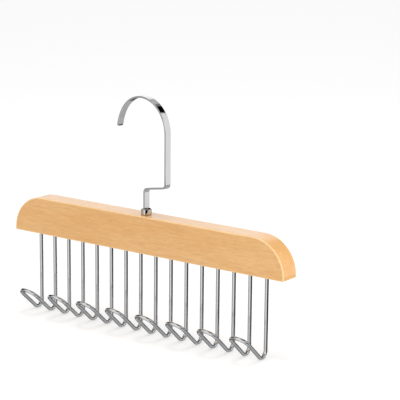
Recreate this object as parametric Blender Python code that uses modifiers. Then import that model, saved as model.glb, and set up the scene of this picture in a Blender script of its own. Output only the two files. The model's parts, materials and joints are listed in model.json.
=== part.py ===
# Wooden belt hanger: a bar with eight wire hooks below it and a swivelling strip hook above it.
# Metres, +Z up. The origin is where the rod bears, on the inside of the strip hook's crown.
# +X runs along the bar, and the wire hooks reach forward, towards -Y.

import math

import bmesh
import bpy
from mathutils import Matrix

mm = 0.001

# Wooden bar
bar_length = 310.0 * mm
bar_height = 35.2 * mm
bar_thickness = 20.5 * mm
bar_end_radius = 33.0 * mm
bar_edge_round = 1.0 * mm

# Wire hooks, each one wire with two legs
hook_count = 8
leg_margin = 23.75 * mm
wire_diameter = 3.5 * mm
leg_drop = 67.8 * mm
bend_radius = 5.9 * mm
arm_length = 22.9 * mm
arm_rise = math.radians(42.3)

# Strip hook, its radii to the middle of the strip and its heights above the bar
strip_width = 6.6 * mm
strip_thickness = 1.6 * mm
crown_radius = 31.1 * mm
crown_sweep = math.radians(147.0)
tip_radius = 40.0 * mm
tip_sweep = math.radians(25.0)
crown_height = 77.0 * mm
jog_run = 27.6 * mm
jog_height = 24.1 * mm
jog_rise = math.radians(10.0)
jog_bend_radius = 3.6 * mm
tip_corner_radius = 1.8 * mm
tang_width = 3.2 * mm
tang_thickness = 1.1 * mm
tang_length = 4.2 * mm
tang_root = 2.0 * mm
strip_turn = math.radians(-9.0)

# Swivel, whose axis stands a little to the left of the bar's middle
bar_shift = 2.4 * mm
collar_diameter = 9.6 * mm
collar_height = 5.0 * mm
collar_edge = 0.6 * mm
collar_dish = 1.0 * mm
pin_diameter = 4.4 * mm
pin_head_diameter = 6.2 * mm
pin_head_height = 1.6 * mm
washer_thickness = 0.8 * mm
sleeve_wall = 0.9 * mm
sleeve_length = 14.0 * mm
bore_floor = 2.0 * mm

# Fits
fit_gap = 0.3 * mm
overrun = 1.0 * mm
weld_distance = 0.01 * mm

# Facet counts
end_steps = 14
edge_segments = 2
bend_steps = 9
nose_steps = 12
crown_steps = 20
tip_steps = 4
jog_steps = 7
corner_segments = 3
hole_sides = 12
turned_steps = 24
wire_bevel_resolution = 2
flat_angle = math.radians(0.5)
smooth_angle = math.radians(40.0)

# Sizes that follow from the ones above
leg_spacing = (bar_length - 2 * leg_margin) / (2 * hook_count - 1)
leg_hole_radius = (wire_diameter / 2 + fit_gap) / math.cos(math.pi / hole_sides)
leg_hole_depth = bar_height - sleeve_length - fit_gap - bore_floor
leg_grip = leg_hole_depth - fit_gap
head_recess_radius = pin_head_diameter / 2 + fit_gap
sleeve_radius = head_recess_radius + sleeve_wall
bore_radius = pin_diameter / 2 + fit_gap
collar_foot = fit_gap
collar_top = collar_foot + collar_height
pin_top = collar_top - collar_dish
strip_foot = collar_top + fit_gap
tang_foot = strip_foot - tang_length
head_foot = -sleeve_length + fit_gap
head_top = head_foot + pin_head_height
washer_foot = head_top + fit_gap
washer_top = washer_foot + washer_thickness
recess_top = washer_top + fit_gap

# The swivel axis and the bar's top, seen from the rod's seat
crown_offset = jog_run - crown_radius
axis_x = -crown_offset * math.cos(strip_turn)
axis_y = -crown_offset * math.sin(strip_turn)
bar_top = -(crown_height + crown_radius - strip_thickness / 2)


def clear_scene():
    for item in list(bpy.data.objects):
        bpy.data.objects.remove(item, do_unlink=True)


def new_collection(name):
    collection = bpy.data.collections.new(name)
    bpy.context.scene.collection.children.link(collection)
    return collection


def new_material(name, colour, metallic, roughness):
    material = bpy.data.materials.new(name)
    material.use_nodes = True
    shader = material.node_tree.nodes["Principled BSDF"]
    shader.inputs["Base Color"].default_value = (*colour, 1.0)
    shader.inputs["Metallic"].default_value = metallic
    shader.inputs["Roughness"].default_value = roughness
    return material


def new_empty(name, collection, shift, turn):
    """An empty on the bar's top, shifted along the bar from the swivel axis."""
    empty = bpy.data.objects.new(name, None)
    collection.objects.link(empty)
    empty.location = (axis_x + shift, axis_y, bar_top)
    empty.rotation_euler = (0, 0, turn)
    return empty


def add_part(name, mesh, collection, frame, material):
    part = bpy.data.objects.new(name, mesh)
    collection.objects.link(part)
    part.parent = frame
    mesh.materials.clear()
    mesh.materials.append(material)
    return part


def add_cutter(name, mesh, collection, frame):
    cutter = bpy.data.objects.new(name, mesh)
    collection.objects.link(cutter)
    cutter.parent = frame
    cutter.hide_render = True
    cutter.display_type = "WIRE"
    return cutter


def join_or_cut(part, other, operation):
    modifier = part.modifiers.new(other.name, "BOOLEAN")
    modifier.object = other
    modifier.operation = operation
    modifier.solver = "EXACT"


def arc(centre, radius, start, sweep, steps):
    """Points on a round stretch, from the angle start on through sweep."""
    angles = [start + sweep * step / steps for step in range(steps + 1)]
    return [(centre[0] + radius * math.cos(a), centre[1] + radius * math.sin(a)) for a in angles]


def new_curve(name, points, closed):
    curve = bpy.data.curves.new(name, "CURVE")
    spline = curve.splines.new("POLY")
    spline.points.add(len(points) - 1)
    for point, place in zip(spline.points, points):
        point.co = (*place, 1.0)
    spline.use_cyclic_u = closed
    return curve


def curve_mesh(curve):
    """Turns a curve into one welded mesh and removes the curve."""
    holder = bpy.data.objects.new(curve.name, curve)
    bpy.context.scene.collection.objects.link(holder)
    evaluated = holder.evaluated_get(bpy.context.evaluated_depsgraph_get())
    mesh = bpy.data.meshes.new_from_object(evaluated)
    bpy.data.objects.remove(holder, do_unlink=True)
    body = bmesh.new()
    body.from_mesh(mesh)
    bmesh.ops.remove_doubles(body, verts=body.verts, dist=weld_distance)
    bmesh.ops.dissolve_limit(body, angle_limit=flat_angle, verts=body.verts, edges=body.edges)
    bmesh.ops.recalc_face_normals(body, faces=body.faces)
    body.to_mesh(mesh)
    body.free()
    return mesh


def plate_mesh(name, outline, thickness):
    """A flat plate whose outline stands upright in the XZ plane."""
    curve = new_curve(name, [(x, z, 0) for x, z in outline], closed=True)
    curve.dimensions = "2D"
    curve.fill_mode = "BOTH"
    curve.extrude = thickness / 2
    mesh = curve_mesh(curve)
    mesh.transform(Matrix.Rotation(math.pi / 2, 4, "X"))
    return mesh


def smooth(mesh):
    mesh.shade_smooth()
    mesh.set_sharp_from_angle(angle=smooth_angle)


def cylinders_mesh(name, places, radius, foot, top, sides):
    body = bmesh.new()
    for x in places:
        middle = Matrix.Translation((x, 0, (foot + top) / 2))
        bmesh.ops.create_cone(
            body, cap_ends=True, segments=sides, radius1=radius, radius2=radius, depth=top - foot, matrix=middle
        )
    mesh = bpy.data.meshes.new(name)
    body.to_mesh(mesh)
    body.free()
    return mesh


def box_mesh(name, size, middle):
    body = bmesh.new()
    bmesh.ops.create_cube(body, size=1, matrix=Matrix.Translation(middle) @ Matrix.Diagonal((*size, 1)))
    mesh = bpy.data.meshes.new(name)
    body.to_mesh(mesh)
    body.free()
    return mesh


def turned_part(name, profile, closed, collection, frame, material):
    """A round piece from the outline of its half section."""
    count = len(profile)
    edges = [(i, i + 1) for i in range(count - 1)]
    if closed:
        edges.append((count - 1, 0))
    mesh = bpy.data.meshes.new(name)
    mesh.from_pydata([(radius, 0, height) for radius, height in profile], edges, [])
    part = add_part(name, mesh, collection, frame, material)
    screw = part.modifiers.new("turn", "SCREW")
    screw.steps = turned_steps
    screw.render_steps = turned_steps
    screw.use_merge_vertices = True
    screw.merge_threshold = weld_distance
    return part


def bar_outline():
    """The bar's front outline, from its lower left corner, with z zero at the top."""
    half = bar_length / 2
    inner = half - bar_end_radius
    below = max(bar_end_radius - bar_height, 0)
    start = math.asin(below / bar_end_radius)
    sweep = math.pi / 2 - start
    right = arc((inner, -bar_end_radius), bar_end_radius, start, sweep, end_steps)
    left = arc((-inner, -bar_end_radius), bar_end_radius, math.pi / 2, sweep, end_steps)
    feet = [] if below > 0 else [(-half, -bar_height), (half, -bar_height)]
    return feet + right + left


def leg_places():
    count = 2 * hook_count
    return [(i - (count - 1) / 2) * leg_spacing for i in range(count)]


def make_wood_bar(parts, cutters, frame, swivel_frame, wood):
    bar = add_part("wood_bar", plate_mesh("wood_bar", bar_outline(), bar_thickness), parts, frame, wood)
    bevel = bar.modifiers.new("edges", "BEVEL")
    bevel.width = bar_edge_round
    bevel.segments = edge_segments
    bevel.limit_method = "ANGLE"
    bevel.angle_limit = smooth_angle
    foot = -bar_height - overrun
    legs = cylinders_mesh(
        "leg_holes", leg_places(), leg_hole_radius, foot, -bar_height + leg_hole_depth, hole_sides
    )
    join_or_cut(bar, add_cutter("leg_holes", legs, cutters, frame), "DIFFERENCE")
    bore_sides_radius = (sleeve_radius + fit_gap) / math.cos(math.pi / turned_steps)
    bore = cylinders_mesh("sleeve_bore", [0], bore_sides_radius, -sleeve_length - fit_gap, overrun, turned_steps)
    join_or_cut(bar, add_cutter("sleeve_bore", bore, cutters, swivel_frame), "DIFFERENCE")
    return bar


def wire_side(x):
    """One leg, its bend and its arm, from the leg's top to the arm's far end."""
    bend_middle = -bar_height - leg_drop
    bend = arc((-bend_radius, bend_middle), bend_radius, 0, -math.pi / 2 - arm_rise, bend_steps)
    reach = (-bend_radius * (1 + math.sin(arm_rise)), bend_middle - bend_radius * math.cos(arm_rise))
    arm_end = (reach[0] - arm_length * math.cos(arm_rise), reach[1] + arm_length * math.sin(arm_rise))
    side = [(0, -bar_height + leg_grip)] + bend + [arm_end]
    return [(x, y, z) for y, z in side]


def make_wire_hook(number, parts, frame, chrome):
    left_x = leg_places()[2 * (number - 1)]
    left = wire_side(left_x)
    right = wire_side(left_x + leg_spacing)
    nose_radius = leg_spacing / 2
    nose_x = left_x + nose_radius
    foot_y, foot_z = left[-1][1:]
    nose = []
    for across, along in arc((0, 0), nose_radius, math.pi, -math.pi, nose_steps)[1:-1]:
        nose.append((nose_x + across, foot_y - along * math.cos(arm_rise), foot_z + along * math.sin(arm_rise)))
    name = "wire_hook_" + str(number)
    curve = new_curve(name, left + nose + right[::-1], closed=False)
    curve.dimensions = "3D"
    curve.bevel_depth = wire_diameter / 2
    curve.bevel_resolution = wire_bevel_resolution
    curve.use_fill_caps = True
    mesh = curve_mesh(curve)
    smooth(mesh)
    return add_part(name, mesh, parts, frame, chrome)


def offset_outline(path, thickness):
    """A closed outline, half the thickness to each side of an open path."""
    sides = ([], [])
    last = len(path) - 1
    for i, (x, z) in enumerate(path):
        before, after = path[max(i - 1, 0)], path[min(i + 1, last)]
        run, rise = after[0] - before[0], after[1] - before[1]
        length = math.hypot(run, rise)
        across, up = -rise / length * thickness / 2, run / length * thickness / 2
        sides[0].append((x + across, z + up))
        sides[1].append((x - across, z - up))
    return sides[1] + sides[0][::-1]


def strip_path():
    """The middle line of the strip, from its foot over the jog and round the crown to the tip."""
    turn = math.pi / 2 - jog_rise
    tangent = jog_bend_radius * math.tan(turn / 2)
    jog_end = jog_height + jog_run * math.tan(jog_rise)
    low = arc((jog_bend_radius, jog_height - tangent), jog_bend_radius, math.pi, -turn, jog_steps)
    high = arc((jog_run - jog_bend_radius, jog_end + tangent), jog_bend_radius, -turn, turn, jog_steps)
    crown = arc((crown_offset, crown_height), crown_radius, 0, crown_sweep, crown_steps)
    flatter = tip_radius - crown_radius
    tip_middle_x = crown_offset - flatter * math.cos(crown_sweep)
    tip_middle_z = crown_height - flatter * math.sin(crown_sweep)
    tip = arc((tip_middle_x, tip_middle_z), tip_radius, crown_sweep, tip_sweep, tip_steps)
    return [(0, strip_foot)] + low + high + crown + tip[1:]


def round_tip(mesh):
    """Rounds the two corners of the strip's free end."""
    body = bmesh.new()
    body.from_mesh(mesh)
    tip_x, tip_z = strip_path()[-1]
    corners = []
    for edge in body.edges:
        a, b = (v.co for v in edge.verts)
        at_tip = all(math.hypot(p.x - tip_x, p.z - tip_z) < strip_thickness for p in (a, b))
        if at_tip and abs(a.y - b.y) < weld_distance and abs(a.x - b.x) > strip_thickness / 2:
            corners.append(edge)
    bmesh.ops.bevel(
        body, geom=corners, offset=tip_corner_radius, segments=corner_segments, profile=0.5, affect="EDGES"
    )
    body.to_mesh(mesh)
    body.free()


def make_hook_strip(parts, cutters, frame, chrome):
    mesh = plate_mesh("hook_strip", offset_outline(strip_path(), strip_thickness), strip_width)
    round_tip(mesh)
    smooth(mesh)
    strip = add_part("hook_strip", mesh, parts, frame, chrome)
    size = (tang_thickness, tang_width, tang_length + tang_root)
    tang = box_mesh("tang", size, (0, 0, tang_foot + size[2] / 2))
    join_or_cut(strip, add_cutter("tang", tang, cutters, frame), "UNION")
    return strip


def make_swivel_pin(parts, cutters, frame, steel):
    profile = [
        (0, pin_top),
        (pin_diameter / 2, pin_top),
        (pin_diameter / 2, head_top),
        (pin_head_diameter / 2, head_top),
        (pin_head_diameter / 2, head_foot),
        (0, head_foot),
    ]
    pin = turned_part("swivel_pin", profile, False, parts, frame, steel)
    slot_foot = tang_foot - fit_gap
    slot_height = collar_top + overrun - slot_foot
    size = (tang_thickness + 2 * fit_gap, pin_diameter + 2 * overrun, slot_height)
    slot = box_mesh("tang_slot", size, (0, 0, slot_foot + slot_height / 2))
    join_or_cut(pin, add_cutter("tang_slot", slot, cutters, frame), "DIFFERENCE")
    return pin


def make_collar(parts, frame, chrome):
    radius = collar_diameter / 2
    profile = [
        (bore_radius, collar_top - collar_dish),
        (radius - collar_edge, collar_top),
        (radius, collar_top - collar_edge),
        (radius, collar_foot),
        (bore_radius, collar_foot),
    ]
    return turned_part("collar", profile, True, parts, frame, chrome)


def make_sleeve(parts, frame, steel):
    profile = [
        (bore_radius, 0),
        (sleeve_radius, 0),
        (sleeve_radius, -sleeve_length),
        (head_recess_radius, -sleeve_length),
        (head_recess_radius, recess_top),
        (bore_radius, recess_top),
    ]
    return turned_part("sleeve", profile, True, parts, frame, steel)


def make_washer(parts, frame, steel):
    profile = [
        (bore_radius, washer_top),
        (pin_head_diameter / 2, washer_top),
        (pin_head_diameter / 2, washer_foot),
        (bore_radius, washer_foot),
    ]
    return turned_part("pin_washer", profile, True, parts, frame, steel)


def build():
    clear_scene()
    parts = new_collection("belt_hanger")
    cutters = new_collection("cutters")
    wood = new_material("waxed_beech", (0.76, 0.43, 0.19), 0.0, 0.5)
    chrome = new_material("chrome_plate", (0.80, 0.80, 0.81), 1.0, 0.12)
    steel = new_material("plain_steel", (0.56, 0.56, 0.57), 1.0, 0.35)
    bar_frame = new_empty("bar_frame", parts, bar_shift, 0)
    swivel_frame = new_empty("swivel_frame", parts, 0, 0)
    strip_frame = new_empty("strip_frame", parts, 0, strip_turn)
    make_wood_bar(parts, cutters, bar_frame, swivel_frame, wood)
    for number in range(1, hook_count + 1):
        make_wire_hook(number, parts, bar_frame, chrome)
    make_collar(parts, swivel_frame, chrome)
    make_sleeve(parts, swivel_frame, steel)
    make_washer(parts, swivel_frame, steel)
    make_swivel_pin(parts, cutters, strip_frame, steel)
    make_hook_strip(parts, cutters, strip_frame, chrome)
    bpy.context.view_layer.update()


build()
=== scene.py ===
import json
import math

import bmesh
import bpy
from mathutils import Matrix, Vector


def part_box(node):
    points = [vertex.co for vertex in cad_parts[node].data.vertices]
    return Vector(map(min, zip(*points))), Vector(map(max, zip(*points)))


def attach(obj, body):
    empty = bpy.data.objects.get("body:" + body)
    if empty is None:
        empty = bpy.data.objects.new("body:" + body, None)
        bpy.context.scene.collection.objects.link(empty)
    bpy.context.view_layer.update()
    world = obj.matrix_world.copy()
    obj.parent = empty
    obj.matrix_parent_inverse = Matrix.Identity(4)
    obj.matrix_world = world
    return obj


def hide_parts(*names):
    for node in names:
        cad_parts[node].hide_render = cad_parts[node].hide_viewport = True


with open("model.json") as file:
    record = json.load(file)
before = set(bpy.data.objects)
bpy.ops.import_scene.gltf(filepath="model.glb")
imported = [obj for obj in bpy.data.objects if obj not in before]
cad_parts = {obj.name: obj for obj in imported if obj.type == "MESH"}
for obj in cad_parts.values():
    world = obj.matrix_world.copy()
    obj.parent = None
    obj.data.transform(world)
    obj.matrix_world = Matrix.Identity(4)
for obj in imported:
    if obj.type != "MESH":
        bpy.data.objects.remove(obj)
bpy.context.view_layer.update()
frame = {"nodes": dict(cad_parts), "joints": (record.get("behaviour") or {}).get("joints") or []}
print("frame loaded")

# Belt hanger: a beech bar with eight chromed wire hooks, under a flat chromed hook that swivels.
# Sizes are in millimetres and degrees where no note says otherwise. +X runs along the bar.

mm = 0.001
barLow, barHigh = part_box("wood_bar")
barTop = Vector(((barLow.x + barHigh.x) / 2, (barLow.y + barHigh.y) / 2, barHigh.z))
swivelTop = Vector(frame["joints"][0]["pos_m"])
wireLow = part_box("wire_hook_1")[0]


def linear(hexColour):  # a screen colour as light levels
    levels = [int(hexColour[i:i + 2], 16) / 255 for i in (1, 3, 5)]
    return [v / 12.92 if v <= 0.04045 else ((v + 0.055) / 1.055) ** 2.4 for v in levels] + [1.0]


def addNode(tree, kind, inputs=None, **settings):
    node = tree.nodes.new(kind)
    for name, value in settings.items():
        setattr(node, name, value)
    for name, value in (inputs or {}).items():
        if isinstance(value, bpy.types.NodeSocket):
            tree.links.new(value, node.inputs[name])
        else:
            node.inputs[name].default_value = value
    return node


def newMaterial(name):
    material = bpy.data.materials.new(name)
    material.use_nodes = True
    return material, material.node_tree, material.node_tree.nodes["Principled BSDF"]


def pattern(tree, cell, detail, seed):  # noise whose blotches are about one cell, in mm along x, y and z
    place = addNode(tree, "ShaderNodeTexCoord").outputs["Object"]
    perCell = [1 / (size * mm) for size in cell]
    scaled = addNode(tree, "ShaderNodeVectorMath", {0: place, 1: perCell}, operation="MULTIPLY")
    moved = addNode(tree, "ShaderNodeVectorMath", {0: scaled.outputs[0], 1: [seed] * 3}, operation="ADD")
    noise = addNode(tree, "ShaderNodeTexNoise", {"Vector": moved.outputs[0], "Scale": 1.0, "Detail": detail})
    return noise.outputs["Fac"]


# How fine each noise is, and where it is cut from.
noises = {
    "fibre": {"detail": 3, "seed": 5.3},
    "cloud": {"detail": 2, "seed": 7.9},
    "ripple": {"detail": 3, "seed": 1.3},
}
layerSeed = {"first": 1.3, "step": 3.7}
bumpStrength = {"wood": 0.5, "metal": 0.3}


def lacqueredWood(look):
    material, tree, shader = newMaterial(look["name"])
    colour = linear(look["colour"])
    for number, layer in enumerate(look["layers"]):
        seed = layerSeed["step"] * number + layerSeed["first"]
        noise = pattern(tree, layer["cell"], layer["detail"], seed)
        limits = {"From Min": layer["from"], "From Max": layer["to"], "To Max": layer["share"]}
        share = addNode(tree, "ShaderNodeMapRange", {"Value": noise, **limits}).outputs["Result"]
        tint = {0: share, 6: colour, 7: linear(layer["colour"])}
        colour = addNode(tree, "ShaderNodeMix", tint, data_type="RGBA").outputs[2]
    tree.links.new(colour, shader.inputs["Base Color"])
    fibre = pattern(tree, look["fibreCell"], **noises["fibre"])
    low, high = look["roughness"]
    rough = addNode(tree, "ShaderNodeMapRange", {"Value": fibre, "To Min": low, "To Max": high})
    tree.links.new(rough.outputs["Result"], shader.inputs["Roughness"])
    shader.inputs["Coat Weight"].default_value = look["coat"]
    shader.inputs["Coat Roughness"].default_value = look["coatRoughness"]
    relief = {"Height": fibre, "Strength": bumpStrength["wood"], "Distance": look["bumpDepth"] * mm}
    bump = addNode(tree, "ShaderNodeBump", relief)
    tree.links.new(bump.outputs["Normal"], shader.inputs["Normal"])
    return material


def platedMetal(look):
    material, tree, shader = newMaterial(look["name"])
    cloud = pattern(tree, look["cloudCell"], **noises["cloud"])
    ripple = pattern(tree, look["rippleCell"], **noises["ripple"])
    shader.inputs["Metallic"].default_value = 1.0
    tint = {0: cloud, 6: linear(look["colour"]), 7: linear(look["paleColour"])}
    mix = addNode(tree, "ShaderNodeMix", tint, data_type="RGBA")
    tree.links.new(mix.outputs[2], shader.inputs["Base Color"])
    low, high = look["roughness"]
    rough = addNode(tree, "ShaderNodeMapRange", {"Value": cloud, "To Min": low, "To Max": high})
    tree.links.new(rough.outputs["Result"], shader.inputs["Roughness"])
    relief = {"Height": ripple, "Strength": bumpStrength["metal"], "Distance": look["bumpDepth"] * mm}
    bump = addNode(tree, "ShaderNodeBump", relief)
    tree.links.new(bump.outputs["Normal"], shader.inputs["Normal"])
    return material


# Beech, planed along the grain, sanded fine and sprayed clear: pale tan, with soft streaks and a thin shine.
# Its flecks are really 0.3 mm high and are drawn about 0.9 mm high, so that they show.
beechLook = {
    "name": "beechPlanedAndLacquered", "colour": "#e3ab66",
    "layers": [
        {"cell": (70, 12, 12), "detail": 2, "from": 0.3, "to": 0.7, "share": 1.0, "colour": "#e9b778"},
        {"cell": (24, 1.5, 1.5), "detail": 4, "from": 0.42, "to": 0.75, "share": 0.5, "colour": "#d29655"},
        {"cell": (7, 0.9, 0.9), "detail": 2, "from": 0.5, "to": 0.75, "share": 0.4, "colour": "#c98a48"},
        {"cell": (9, 0.9, 1.4), "detail": 2, "from": 0.58, "to": 0.75, "share": 0.4, "colour": "#efc58c"},
    ],
    "fibreCell": (9, 0.4, 0.4), "roughness": (0.40, 0.55), "bumpDepth": 0.02,
    "coat": 0.95, "coatRoughness": 0.14,
}
beech = lacqueredWood(beechLook)
# The same beech where sandpaper broke the sharp edges, painted paler: partly lighter sanded wood, partly a
# painted highlight, so every edge draws a thin light line.
beechEdgeAndPaintedHighlight = lacqueredWood({
    **beechLook, "name": "beechSandedEdgeAndPaintedHighlight", "colour": "#efc388", "coat": 0.3,
    "layers": [
        {"cell": (9, 0.9, 0.9), "detail": 2, "from": 0.4, "to": 0.7, "share": 0.6, "colour": "#fbdcae"},
    ],
})
# Steel wire, drawn round and chromed after bending: bright, with a light and a dark line along every length.
chromedWire = platedMetal({
    "name": "steelWireDrawnAndChromed",
    "colour": "#d3d4d6", "paleColour": "#dcdddf", "roughness": (0.06, 0.12),
    "cloudCell": (4, 4, 4), "rippleCell": (1.6, 1.6, 6), "bumpDepth": 0.002,
})
# Steel strip, rolled, tumbled and chromed: calm light grey faces whose edges catch the light.
chromedStrip = platedMetal({
    "name": "steelStripRolledAndChromed",
    "colour": "#dadbdd", "paleColour": "#e1e1e3", "roughness": (0.06, 0.12),
    "cloudCell": (9, 9, 9), "rippleCell": (1.6, 1.6, 1.6), "bumpDepth": 0.003,
})
# Steel collar, turned and chromed: mirror bright, so its dark streaks are crisp.
chromedCollar = platedMetal({
    "name": "steelTurnedAndChromed",
    "colour": "#d8d9db", "paleColour": "#dededf", "roughness": (0.04, 0.08),
    "cloudCell": (3, 3, 3), "rippleCell": (2.0, 2.0, 0.15), "bumpDepth": 0.002,
})
# Steel, turned and zinc plated: duller and bluer than the chrome, with fine rings from the tool.
zincSteel = platedMetal({
    "name": "steelTurnedAndZincPlated",
    "colour": "#a9adb2", "paleColour": "#bcc0c4", "roughness": (0.28, 0.38),
    "cloudCell": (1.5, 1.5, 1.5), "rippleCell": (1.2, 1.2, 0.12), "bumpDepth": 0.01,
})
print("materials made")


def arc(centre, radius, start, sweep, steps):
    angles = [math.radians(start + sweep * step / steps) for step in range(steps + 1)]
    return [(centre[0] + radius * math.cos(a), centre[1] + radius * math.sin(a)) for a in angles]


def meshFrom(name, points, faces):
    mesh = bpy.data.meshes.new(name)
    mesh.from_pydata(points, [], faces)
    body = bmesh.new()
    body.from_mesh(mesh)
    bmesh.ops.recalc_face_normals(body, faces=body.faces)
    body.to_mesh(mesh)
    body.free()
    return mesh


def finalMesh(thing):  # its mesh with all modifiers applied, and the thing itself removed
    evaluated = thing.evaluated_get(bpy.context.evaluated_depsgraph_get())
    mesh = bpy.data.meshes.new_from_object(evaluated)
    bpy.data.objects.remove(thing, do_unlink=True)
    return mesh


def newObject(name, data):
    thing = bpy.data.objects.new(name, data)
    bpy.context.scene.collection.objects.link(thing)
    return thing


sharpAngle = 35  # edges that turn further than this stay crisp


def addPiece(name, mesh, place, turn, material, body, node):
    turned = Matrix.Rotation(math.radians(turn), 4, "Z")
    mesh.transform(Matrix.Translation(place) @ turned @ Matrix.Scale(mm, 4))
    mesh.shade_smooth()
    mesh.set_sharp_from_angle(angle=math.radians(sharpAngle))
    if not mesh.materials:
        mesh.materials.append(material)
    piece = newObject(name, mesh)
    normals = piece.modifiers.new("evenShading", "WEIGHTED_NORMAL")
    normals.keep_sharp = True
    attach(piece, body)
    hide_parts(node)


def ringFaces(rings, points):
    faces = []
    for ring in range(rings - 1):
        low, high = ring * points, (ring + 1) * points
        for i in range(points):
            after = (i + 1) % points
            faces.append((low + i, low + after, high + after, high + i))
    return faces


def drill(name, places, radius, foot, top):
    body = bmesh.new()
    for x in places:
        middle = Matrix.Translation((x, 0, (foot + top) / 2))
        size = {"radius1": radius, "radius2": radius, "depth": top - foot}
        bmesh.ops.create_cone(body, cap_ends=True, segments=bar["holeSides"], matrix=middle, **size)
    mesh = bpy.data.meshes.new(name)
    body.to_mesh(mesh)
    body.free()
    return newObject(name, mesh)


bar = {
    "length": 310, "height": 35.2, "thickness": 20.5, "endRadius": 33, "edgeRound": 1.0,
    "legHole": 1.95, "legDepth": 18.9, "bore": 4.6, "boreDepth": 14.3,  # both holes by radius
    "overrun": 1, "holeSides": 40, "endSteps": 48, "edgeSteps": 5, "edgeAngle": 40,
}
wire = {
    "hooks": 8, "spacing": 17.5, "diameter": 3.5, "grip": 18.6, "drop": 67.8,
    "bend": 5.9, "arm": 22.9, "rise": 42.3, "bendSteps": 36, "noseSteps": 40, "roundSteps": 12,
}
legPlaces = [(i - wire["hooks"] + 0.5) * wire["spacing"] for i in range(2 * wire["hooks"])]


def makeBar():
    half = bar["length"] / 2
    inner = half - bar["endRadius"]
    outline = [(-half, -bar["height"]), (half, -bar["height"])]
    outline += arc((inner, -bar["endRadius"]), bar["endRadius"], 0, 90, bar["endSteps"])
    outline += arc((-inner, -bar["endRadius"]), bar["endRadius"], 90, 90, bar["endSteps"])
    count = len(outline)
    points = [(x, y, z) for y in (-bar["thickness"] / 2, bar["thickness"] / 2) for x, z in outline]
    faces = ringFaces(2, count) + [list(range(count)), list(range(count, 2 * count))]
    block = newObject("barBlock", meshFrom("barBlock", points, faces))
    block.data.materials.append(beech)
    # the second slot is the edge colour with a painted highlight in it
    block.data.materials.append(beechEdgeAndPaintedHighlight)
    bevel = block.modifiers.new("easedEdges", "BEVEL")
    bevel.width = bar["edgeRound"]
    bevel.segments = bar["edgeSteps"]
    bevel.limit_method = "ANGLE"
    bevel.angle_limit = math.radians(bar["edgeAngle"])
    bevel.material = 1  # the sanded edge, painted paler as a highlight
    foot, over = -bar["height"], bar["overrun"]
    cuts = [
        drill("legDrill", legPlaces, bar["legHole"], foot - over, foot + bar["legDepth"]),
        drill("sleeveDrill", [(swivelTop.x - barTop.x) / mm], bar["bore"], -bar["boreDepth"], over),
    ]
    for cut in cuts:
        boolean = block.modifiers.new(cut.name, "BOOLEAN")
        boolean.object = cut
        boolean.operation = "DIFFERENCE"
        boolean.solver = "EXACT"
    mesh = finalMesh(block)
    for cut in cuts:
        bpy.data.objects.remove(cut, do_unlink=True)
    addPiece("woodBar", mesh, barTop, 0, beech, "bar", "wood_bar")


def makeWireHook(number):
    leftX = legPlaces[2 * number - 2]
    rise = math.radians(wire["rise"])
    bend = wire["bend"]
    middle = -bar["height"] - wire["drop"]
    side = [(0, wire["grip"] - bar["height"])]
    side += arc((-bend, middle), bend, 0, -90 - wire["rise"], wire["bendSteps"])
    foot = side[-1]
    armEnd = (foot[0] - wire["arm"] * math.cos(rise), foot[1] + wire["arm"] * math.sin(rise))
    side += [armEnd]
    nose = wire["spacing"] / 2
    across = [
        (leftX + nose + x, armEnd[0] - along * math.cos(rise), armEnd[1] + along * math.sin(rise))
        for x, along in arc((0, 0), nose, 180, -180, wire["noseSteps"])[1:-1]
    ]
    left = [(leftX, y, z) for y, z in side]
    right = [(leftX + wire["spacing"], y, z) for y, z in side[::-1]]
    path = left + across + right
    curve = bpy.data.curves.new("wirePath", "CURVE")
    curve.dimensions = "3D"
    spline = curve.splines.new("POLY")
    spline.points.add(len(path) - 1)
    for point, place in zip(spline.points, path):
        point.co = (*place, 1)
    curve.bevel_depth = wire["diameter"] / 2
    curve.bevel_resolution = wire["roundSteps"]
    curve.use_fill_caps = True
    mesh = finalMesh(newObject("wirePath", curve))
    addPiece(f"wireHook{number}", mesh, barTop, 0, chromedWire, "bar", f"wire_hook_{number}")


makeBar()
print("wooden bar made")
for number in range(1, wire["hooks"] + 1):
    makeWireHook(number)
print("wire hooks made")

strip = {
    "width": 6.6, "thickness": 1.6, "edgeRound": 0.3, "tipCorner": 1.8, "turn": -9, "foot": 5.6,
    "crownRadius": 31.1, "crownSweep": 147, "crownHeight": 77, "tipRadius": 40, "tipSweep": 25,
    "jogRun": 27.6, "jogHeight": 24.1, "jogRise": 10, "jogBend": 3.6,
    "tangWidth": 3.2, "tangThickness": 1.1, "tangLength": 4.2, "leastRound": 0.1,
    "cornerSteps": 4, "bendSteps": 18, "crownSteps": 90, "tipSteps": 60, "shoulderShares": (0, 0.3, 1),
}


def stripSection(centre, direction, thickness, width, edge):  # a flat rounded ring across the strip
    length = math.hypot(*direction)
    across = (-direction[1] / length, direction[0] / length)
    ring = []
    for quarter, (sideX, sideY) in enumerate(((1, 1), (-1, 1), (-1, -1), (1, -1))):
        corner = (sideX * (thickness / 2 - edge), sideY * (width / 2 - edge))
        for t, y in arc(corner, edge, 90 * quarter, 90, strip["cornerSteps"]):
            ring.append((centre[0] + t * across[0], y, centre[1] + t * across[1]))
    return ring


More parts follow.
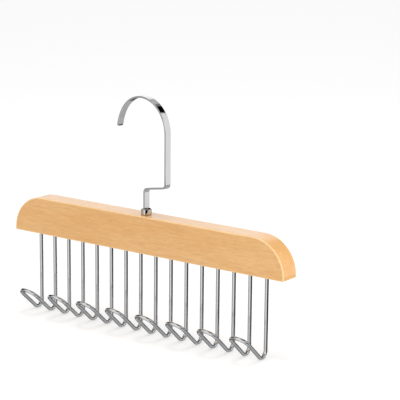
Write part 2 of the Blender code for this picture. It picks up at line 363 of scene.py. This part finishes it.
def makeStrip():
    bend = strip["jogBend"]
    turn = 90 - strip["jogRise"]
    tangent = bend * math.tan(math.radians(turn / 2))
    jogEnd = strip["jogHeight"] + strip["jogRun"] * math.tan(math.radians(strip["jogRise"]))
    path = arc((bend, strip["jogHeight"] - tangent), bend, 180, -turn, strip["bendSteps"])
    path += arc((strip["jogRun"] - bend, jogEnd + tangent), bend, -turn, turn, strip["bendSteps"])
    crownX = strip["jogRun"] - strip["crownRadius"]
    crownZ, sweep = strip["crownHeight"], strip["crownSweep"]
    path += arc((crownX, crownZ), strip["crownRadius"], 0, sweep, strip["crownSteps"])
    flatter = strip["tipRadius"] - strip["crownRadius"]
    leave = math.radians(sweep)
    tipMiddle = (crownX - flatter * math.cos(leave), crownZ - flatter * math.sin(leave))
    path += arc(tipMiddle, strip["tipRadius"], sweep, strip["tipSweep"], strip["tipSteps"])[1:]
    foot, thickness, width = strip["foot"], strip["thickness"], strip["width"]
    edge, least = strip["edgeRound"], strip["leastRound"]
    rings = [
        stripSection((0, z), (0, 1), strip["tangThickness"], strip["tangWidth"], edge / 2)
        for z in (foot - strip["tangLength"], foot)
    ]
    for share in strip["shoulderShares"]:  # the eased shoulder above the tang
        lift = share * edge
        inset = edge - math.sqrt(edge ** 2 - (edge - lift) ** 2)
        corner = least + (edge - least) * lift / edge
        shoulder = (thickness - 2 * inset, width - 2 * inset, corner)
        rings.append(stripSection((0, foot + lift), (0, 1), *shoulder))
    reach = 0
    lengths = [0]
    for a, b in zip(path[::-1], path[-2::-1]):
        reach += math.dist(a, b)
        lengths.append(reach)
    lengths.reverse()
    last = len(path) - 1
    for i, point in enumerate(path):
        ahead, behind = path[min(i + 1, last)], path[max(i - 1, 0)]
        direction = (ahead[0] - behind[0], ahead[1] - behind[1])
        if i == 0:
            direction = (0, 1)
        left = max(strip["tipCorner"] - lengths[i], 0)
        narrow = strip["tipCorner"] - math.sqrt(strip["tipCorner"] ** 2 - left ** 2)
        thin = edge - math.sqrt(edge ** 2 - max(edge - lengths[i], 0) ** 2)
        corner = max(edge - thin, least)
        rings.append(stripSection(point, direction, thickness - 2 * thin, width - 2 * narrow, corner))
    count = len(rings[0])
    points = [point for ring in rings for point in ring]
    total = len(points)
    faces = ringFaces(len(rings), count) + [list(range(count)), list(range(total - count, total))]
    mesh = meshFrom("hookStrip", points, faces)
    addPiece("hookStrip", mesh, swivelTop, strip["turn"], chromedStrip, "hook", "hook_strip")


collar = {
    "diameter": 9.6, "height": 5.0, "foot": 0.3, "topRound": 0.6, "footRound": 0.25,
    "dish": 1.0, "bore": 2.5, "boreRound": 0.15, "dishSlope": 0.07, "boreDrop": 0.08,
    "steps": 96, "footSteps": 5, "topSteps": 8, "weld": 0.001,
}


def makeCollar():
    radius = collar["diameter"] / 2
    top = collar["foot"] + collar["height"]
    profile = [(collar["bore"], collar["foot"])]
    low, high = collar["footRound"], collar["topRound"]
    profile += arc((radius - low, collar["foot"] + low), low, -90, 90, collar["footSteps"])
    profile += arc((radius - high, top - high), high, 0, 90, collar["topSteps"])
    dish = top - collar["dish"]
    profile.append((collar["bore"] + collar["boreRound"], dish + collar["dishSlope"]))
    profile.append((collar["bore"], dish - collar["boreDrop"]))
    count = len(profile)
    points = []
    for step in range(collar["steps"] + 1):
        angle = 2 * math.pi * step / collar["steps"]
        points += [(r * math.cos(angle), r * math.sin(angle), z) for r, z in profile]
    body = bmesh.new()
    body.from_mesh(meshFrom("collar", points, ringFaces(collar["steps"] + 1, count)))
    bmesh.ops.remove_doubles(body, verts=body.verts, dist=collar["weld"])
    mesh = bpy.data.meshes.new("collar")
    body.to_mesh(mesh)
    body.free()
    addPiece("swivelCollar", mesh, swivelTop, 0, chromedCollar, "bar", "collar")


makeStrip()
makeCollar()
for name in ("swivel_pin", "sleeve", "pin_washer"):  # hidden solids, shown as they are
    hidden = frame["nodes"][name]
    hidden.data.materials.clear()
    hidden.data.materials.append(zincSteel)
print("strip hook, collar and swivel made")

# The size is in metres.
floor = {"size": 9, "colour": "#ffffff", "roughness": 0.9, "glowShare": 0.42}


def makeFloor():  # a white board that glows a little to the camera and keeps a faint shadow
    half = floor["size"] / 2
    corners = [(x * half, y * half, wireLow.z) for x, y in ((-1, -1), (1, -1), (1, 1), (-1, 1))]
    material, tree, shader = newMaterial("matWhiteBoard")
    shader.inputs["Base Color"].default_value = linear(floor["colour"])
    shader.inputs["Roughness"].default_value = floor["roughness"]
    glow = addNode(tree, "ShaderNodeEmission", {"Color": linear("#ffffff"), "Strength": 1.0})
    seen = addNode(tree, "ShaderNodeLightPath").outputs["Is Camera Ray"]
    share = addNode(tree, "ShaderNodeMath", {0: seen, 1: floor["glowShare"]}, operation="MULTIPLY")
    surfaces = {0: share.outputs[0], 1: shader.outputs[0], 2: glow.outputs[0]}
    mix = addNode(tree, "ShaderNodeMixShader", surfaces)
    tree.links.new(mix.outputs[0], tree.nodes["Material Output"].inputs["Surface"])
    mesh = meshFrom("studioFloor", corners, [(0, 1, 2, 3)])
    mesh.materials.append(material)
    board = newObject("studioFloor", mesh)
    board.visible_glossy = False  # the chrome looks past it to the flags


# Boards round the set that show only in shiny surfaces, with what each changes in the camera's view.
# Azimuth goes from +Y towards +X, and distance is in metres. Level 0 is black, 1 is white.
flagSet = {"distance": 5, "steps": 8}
flags = {
    "crownFlag": {"azimuth": (9, 36), "elevation": (38, 56), "level": 0.0},  # dark patch on the crown
    "crownGrey": {"azimuth": (-3, 9), "elevation": (38, 62), "level": 0.22},  # grey beside the patch
    "crownPale": {"azimuth": (-26, -3), "elevation": (34, 62), "level": 0.55},  # paler grey beside it
    "crownLight": {"azimuth": (-50, -14), "elevation": (9, 33), "level": 1.1},  # just brighter than the room
    "noseFlag": {"azimuth": (-125, -50), "elevation": (1, 60), "level": 0.01},  # darkens noses and collar
    "noseTopFlag": {"azimuth": (-50, -27), "elevation": (36, 57), "level": 0.01},  # a few dots on the noses
    "overheadFlag": {"azimuth": (-135, 122), "elevation": (57, 80), "level": 0.0},  # darkens the noses
    "crownTopFlag": {"azimuth": (36, 50), "elevation": (45, 57), "level": 0.0},  # a trace on the crown
    "sideFlag": {"azimuth": (50, 128), "elevation": (33, 57), "level": 0.0},  # darkens the noses
    "highFlag": {"azimuth": (-8, 38), "elevation": (3, 38), "level": 0.0},  # darkens the noses
    "backFlag": {"azimuth": (-28, 26), "elevation": (-38, 3), "level": 0.1},  # darkens legs and noses
    "backLowFlag": {"azimuth": (-64, -28), "elevation": (-38, -15), "level": 0.1},  # darkens crown's left
    "tipFlag": {"azimuth": (26, 60), "elevation": (-34, -18), "level": 0.55},  # greys hook tip and noses
    "legFlag": {"azimuth": (26, 62), "elevation": (-21, -14), "level": 0.03, "distance": 1},  # dark on legs
    "rightFlag": {"azimuth": (60, 124), "elevation": (-34, 6), "level": 0.04},  # darkens legs and noses most
    "lowFlag": {"azimuth": (-64, 75), "elevation": (-66, -34), "level": 0.5},  # greys noses and hook tip
    "lowLeftFlag": {"azimuth": (-135, -64), "elevation": (-66, -24), "level": 0.12},  # darkens the noses
    "bottomFlag": {"azimuth": (-180, 180), "elevation": (-88, -66), "level": 0.3},  # greys the noses
    "leftFlag": {"azimuth": (205, 268), "elevation": (-40, 12), "level": 0.45},  # greys legs and upright
    "collarFlag": {"azimuth": (114, 170), "elevation": (-14, 40), "level": 0.0, "distance": 0.05},  # collar
}


def makeFlag(name, flag):
    steps = flagSet["steps"]
    distance = flag.get("distance", flagSet["distance"])
    points = []
    for level in flag["elevation"]:
        for step in range(steps + 1):
            low, high = flag["azimuth"]
            a, e = math.radians(low + (high - low) * step / steps), math.radians(level)
            away = Vector((math.sin(a) * math.cos(e), math.cos(a) * math.cos(e), math.sin(e)))
            points.append(barTop + away * distance)
    row = steps + 1
    mesh = meshFrom(name, points, [(i, i + 1, row + i + 1, row + i) for i in range(steps)])
    material, tree, shader = newMaterial(name + "Board")
    shader.inputs["Base Color"].default_value = linear("#000000")
    shader.inputs["Specular IOR Level"].default_value = 0.0
    shader.inputs["Emission Color"].default_value = linear("#ffffff")
    shader.inputs["Emission Strength"].default_value = flag["level"]
    mesh.materials.append(material)
    board = newObject(name, mesh)
    board.visible_camera = False
    board.visible_diffuse = False
    board.visible_shadow = False


makeFloor()
for name, flag in flags.items():
    makeFlag(name, flag)

room = {"level": 0.93}
world = bpy.data.worlds.new("whiteStudio")
world.use_nodes = True
worldTree = world.node_tree
onSet = worldTree.nodes["Background"]
onSet.inputs["Color"].default_value = linear("#ffffff")
onSet.inputs["Strength"].default_value = room["level"]
toCamera = addNode(worldTree, "ShaderNodeBackground", {"Color": linear("#ffffff"), "Strength": 1.0})
cameraRay = addNode(worldTree, "ShaderNodeLightPath").outputs["Is Camera Ray"]
worlds = {0: cameraRay, 1: onSet.outputs[0], 2: toCamera.outputs[0]}
eitherWorld = addNode(worldTree, "ShaderNodeMixShader", worlds)
worldTree.links.new(eitherWorld.outputs[0], worldTree.nodes["World Output"].inputs["Surface"])
bpy.context.scene.world = world

# Azimuth is the camera's, from -Y towards +X. Distance and size are in metres.
lamps = {
    "rightBox": {"azimuth": 86, "elevation": 14, "distance": 2.0, "size": 0.7, "watts": 10.5},
    "topBox": {"azimuth": 20, "elevation": 84, "distance": 1.5, "size": 0.5, "watts": 5.4},
}
for name, lamp in lamps.items():
    data = bpy.data.lights.new(name, "AREA")
    data.energy = lamp["watts"]
    data.size = lamp["size"]
    light = newObject(name, data)
    light.visible_glossy = False
    a, e = math.radians(lamp["azimuth"]), math.radians(lamp["elevation"])
    back = Vector((math.sin(a) * math.cos(e), -math.cos(a) * math.cos(e), math.sin(e)))
    light.location = barTop + back * lamp["distance"]
    light.rotation_euler = back.to_track_quat("Z", "Y").to_euler()
print("studio set")

shot = {
    "azimuth": 36.11, "elevation": 12.76, "roll": 0.538, "lens": 144.33, "sensor": 36,
    "distance": 1427.7, "aim": (57.9, 0.4, 21.79),
}
cameraData = bpy.data.cameras.new("camera")
cameraData.lens = shot["lens"]
cameraData.sensor_width = shot["sensor"]
camera = newObject("camera", cameraData)
a, e = math.radians(shot["azimuth"]), math.radians(shot["elevation"])
back = Vector((math.sin(a) * math.cos(e), -math.cos(a) * math.cos(e), math.sin(e)))
turns = (
    Matrix.Rotation(a, 4, "Z") @ Matrix.Rotation(math.pi / 2 - e, 4, "X")
    @ Matrix.Rotation(math.radians(shot["roll"]), 4, "Z")
)
stand = Vector(shot["aim"]) + back * shot["distance"]
camera.matrix_world = Matrix.Translation(barTop + stand * mm) @ turns
bpy.context.scene.camera = camera
bpy.context.scene.view_settings.view_transform = "Standard"

bpy.context.view_layer.update()
print("camera set")
